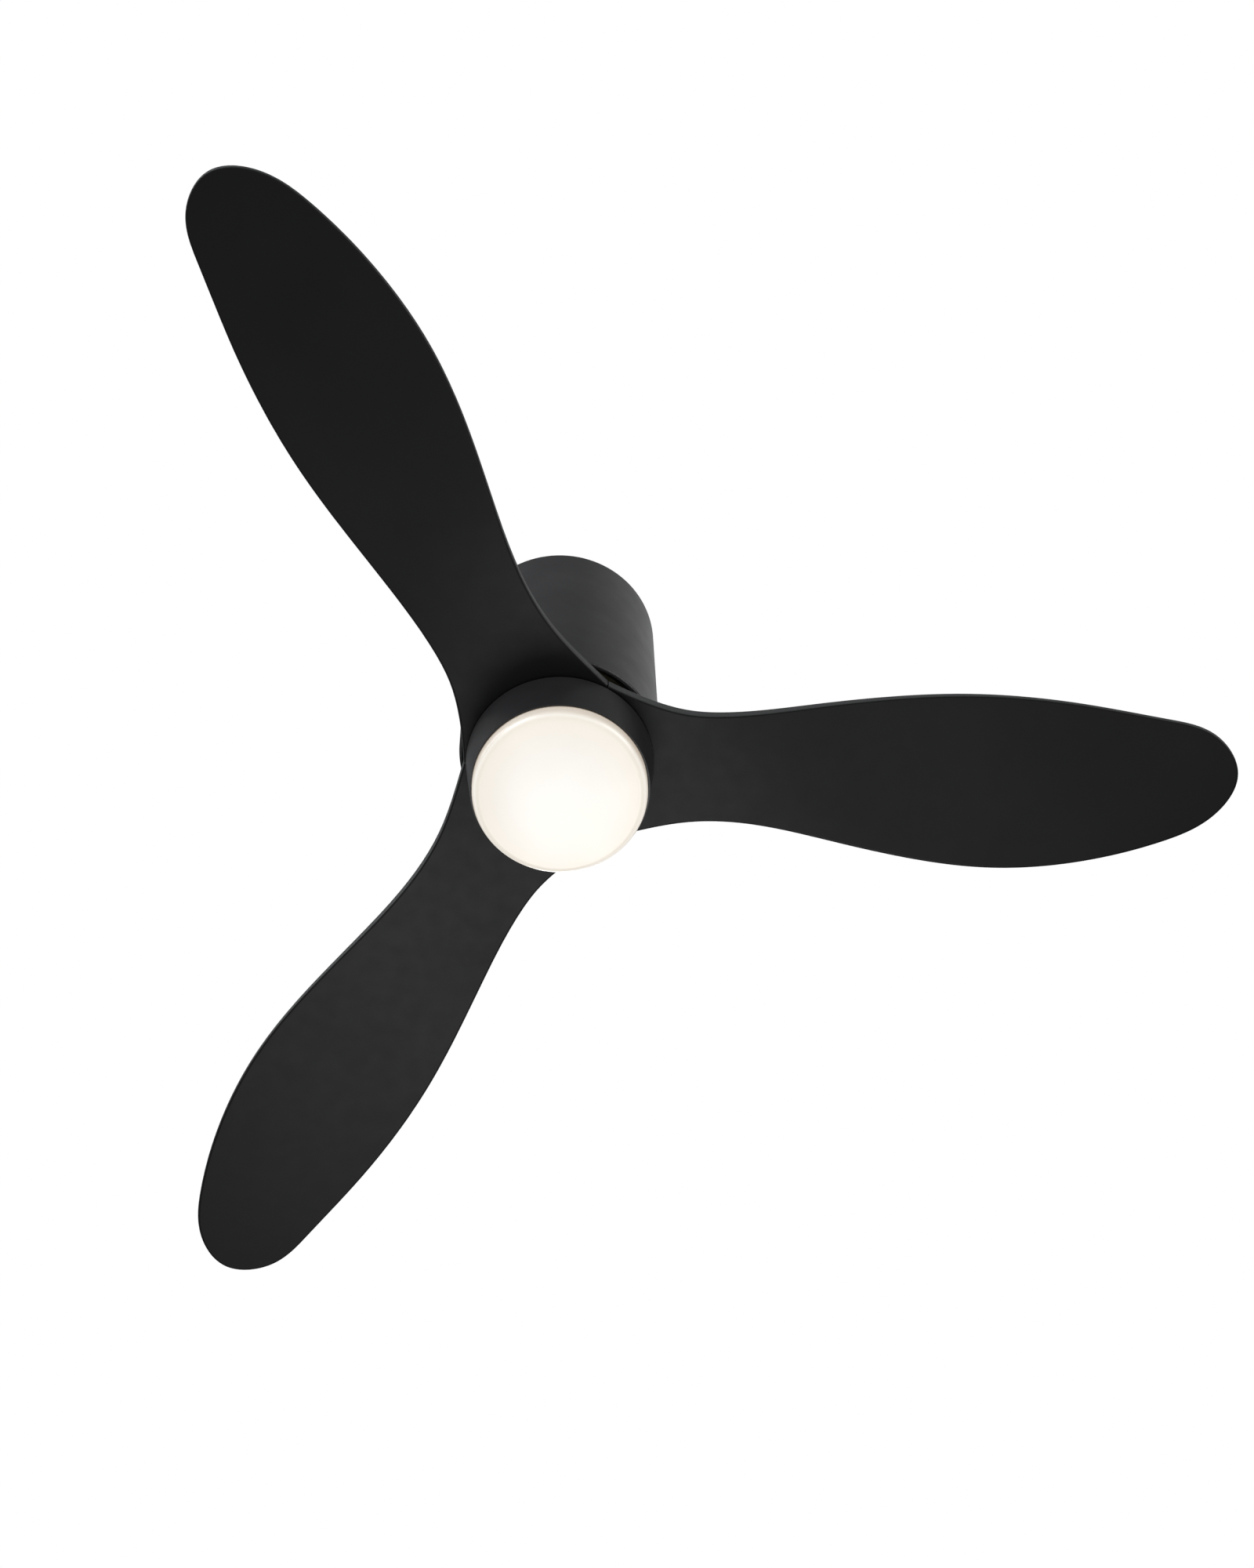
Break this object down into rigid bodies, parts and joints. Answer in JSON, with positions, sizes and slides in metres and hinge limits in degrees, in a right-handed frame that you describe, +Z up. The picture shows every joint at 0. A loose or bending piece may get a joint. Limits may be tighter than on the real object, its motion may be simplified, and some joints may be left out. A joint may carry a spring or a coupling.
{
  "type": "ceiling fan with light",
  "caption": "Flush-mounted ceiling fan: drum housing, sculpted propeller blades on a direct-drive motor, and a round opal light with a twist-off lens.",
  "frame": {"origin": "centre of the ceiling face, at the middle of the bracket's two slots", "axes": "+Z up into the ceiling along the rotor's axis, +X along blade 1 and the bracket's slots"},
  "size_m": [1.0291, 1.1538, 0.403],
  "materials": {
    "housing_black": "matte",
    "bezel_black": "matte",
    "blade_black": "matte",
    "opal_lens": "satin",
    "zinc_steel": "satin",
    "passivated_steel": "satin",
    "bright_steel": "polished",
    "black_steel": "satin",
    "cast_aluminium": "cast",
    "core_steel": "matte",
    "copper_wire": "gloss",
    "magnet_nickel": "satin",
    "pad_rubber": "matte",
    "case_plastic": "matte",
    "circuit_board": "gloss",
    "ground_green": "satin",
    "components": "satin",
    "lead_insulation": "satin",
    "connector_plastic": "satin",
    "white_paint": "satin",
    "led_chip": "gloss"
  },
  "bodies": {
    "mount": {"mounting_bracket": "zinc_steel", "hanger_frame": "zinc_steel", "frame_bolts": "bright_steel", "ground_screw": "ground_green", "ground_terminal": "bright_steel", "housing": "housing_black", "housing_screws": "black_steel", "motor_shaft": "bright_steel", "flange_screws": "bright_steel", "shaft_spacers": "zinc_steel", "retaining_ring": "black_steel", "stator_carrier": "cast_aluminium", "stator_core": "core_steel", "stator_windings": "copper_wire", "upper_bearing_inner": "bright_steel", "lower_bearing_inner": "bright_steel", "driver_case": "case_plastic", "driver_lid": "case_plastic", "driver_board": "circuit_board", "driver_components": "components", "case_screws": "bright_steel", "lid_screws": "bright_steel", "lead_grommet": "pad_rubber", "supply_leads": "lead_insulation", "wire_connectors": "connector_plastic", "motor_lead": "lead_insulation", "light_lead": "lead_insulation", "light_pan": "white_paint", "light_kit_washer": "bright_steel", "light_kit_nut": "bright_steel", "light_bezel": "bezel_black", "bezel_screws": "bright_steel", "led_driver": "case_plastic", "led_driver_screws": "bright_steel", "led_standoffs": "bright_steel", "led_board": "white_paint", "led_board_screws": "bright_steel", "leds": "led_chip", "led_connector": "lead_insulation", "led_lead": "lead_insulation"},
    "rotor": {"rotor_upper_cover": "cast_aluminium", "rotor_lower_cover": "passivated_steel", "rotor_ring": "core_steel", "magnets": "magnet_nickel", "preload_washer": "bright_steel", "cover_screws": "bright_steel", "blade_hub": "cast_aluminium", "hub_screws": "bright_steel", "blade_1": "blade_black", "blade_2": "blade_black", "blade_3": "blade_black", "blade_pads": "pad_rubber", "blade_screws": "black_steel", "upper_bearing_outer": "bright_steel", "lower_bearing_outer": "bright_steel"},
    "upper_ball_set": {"upper_bearing_balls": "bright_steel", "upper_bearing_cage": "zinc_steel"},
    "lower_ball_set": {"lower_bearing_balls": "bright_steel", "lower_bearing_cage": "zinc_steel"},
    "lens": {"diffuser": "opal_lens"}
  },
  "joints": [
    {"name": "rotor_spin", "type": "hinge", "parent": "mount", "child": "rotor", "pos_m": [0, 0, -0.24], "axis": [0, 0, 1], "continuous": true},
    {"name": "upper_cage_spin", "type": "hinge", "parent": "mount", "child": "upper_ball_set", "pos_m": [0, 0, -0.205], "axis": [0, 0, 1], "continuous": true},
    {"name": "lower_cage_spin", "type": "hinge", "parent": "mount", "child": "lower_ball_set", "pos_m": [0, 0, -0.27], "axis": [0, 0, 1], "continuous": true},
    {"name": "lens_twist", "type": "hinge", "parent": "mount", "child": "lens", "pos_m": [0, 0, -0.38], "axis": [0, 0, 1], "range_deg": [0, 24]}
  ],
  "couplings": [
    {"joint": "upper_cage_spin", "follows": "rotor_spin", "ratio": 0.61842},
    {"joint": "lower_cage_spin", "follows": "rotor_spin", "ratio": 0.61842}
  ]
}
